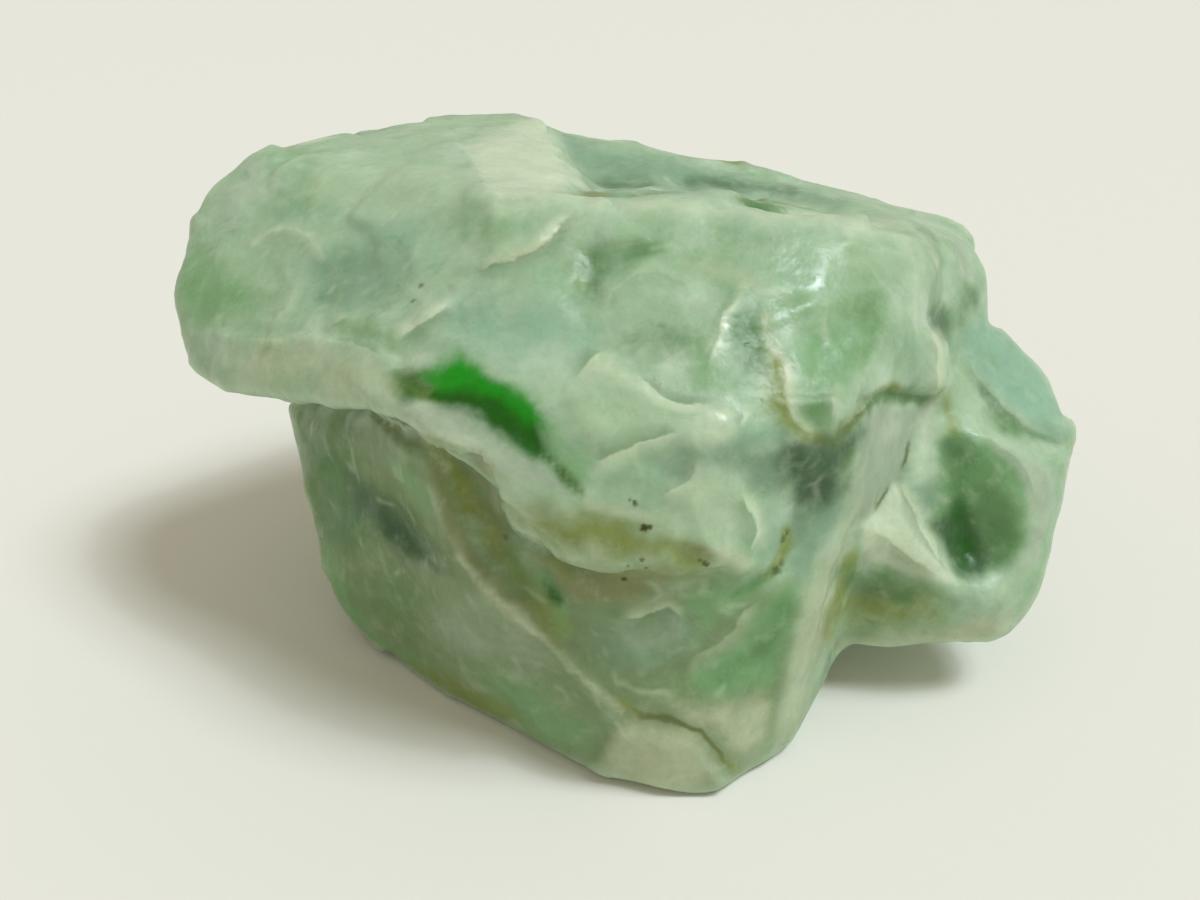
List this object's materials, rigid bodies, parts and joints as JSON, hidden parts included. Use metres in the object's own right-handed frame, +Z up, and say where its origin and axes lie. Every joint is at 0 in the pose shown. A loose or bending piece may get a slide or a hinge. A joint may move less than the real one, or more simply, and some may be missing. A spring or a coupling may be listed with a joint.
{
  "type": "rough jade pebble",
  "caption": "Water-worn piece of rough green jade: a thick overhanging slab and a round lobe on a stout body that stands on a flat foot.",
  "frame": {"origin": "middle of the bounding box, on the surface that the stone stands on", "axes": "+X along the stone from the overhanging slab to the lobe, +Y from the nose to the back, +Z up"},
  "size_m": [0.0384, 0.0296, 0.0204],
  "materials": {
    "jade": "waxy, worn smooth, mottled pale and deep green with one emerald vein"
  },
  "bodies": {
    "root": {"jade_boulder": "jade"}
  },
  "joints": []
}
